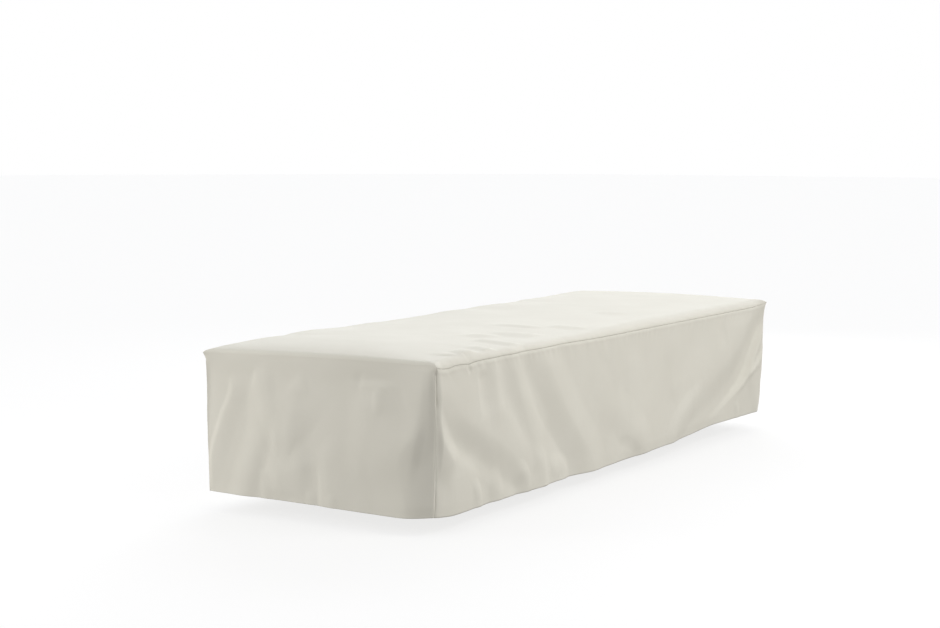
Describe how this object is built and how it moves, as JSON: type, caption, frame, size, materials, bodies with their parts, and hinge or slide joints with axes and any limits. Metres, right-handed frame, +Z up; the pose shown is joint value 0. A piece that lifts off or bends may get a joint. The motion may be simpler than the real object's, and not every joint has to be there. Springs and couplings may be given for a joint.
{
  "type": "chaise lounge cover",
  "caption": "Fitted box-shaped cloth cover that drops over a low lounge chair and hangs close around it, open underneath.",
  "frame": {"origin": "middle of the underside of the top, where the chair inside carries the cover", "axes": "+Y along the length to the back end, +X across, +Z up"},
  "size_m": [0.7181, 2.0874, 0.4087],
  "materials": {
    "cloth": "off-white coated outdoor cloth, smooth and matte"
  },
  "bodies": {
    "root": {"centre_panel": "cloth", "right_side_panel": "cloth", "left_side_panel": "cloth"}
  },
  "joints": []
}
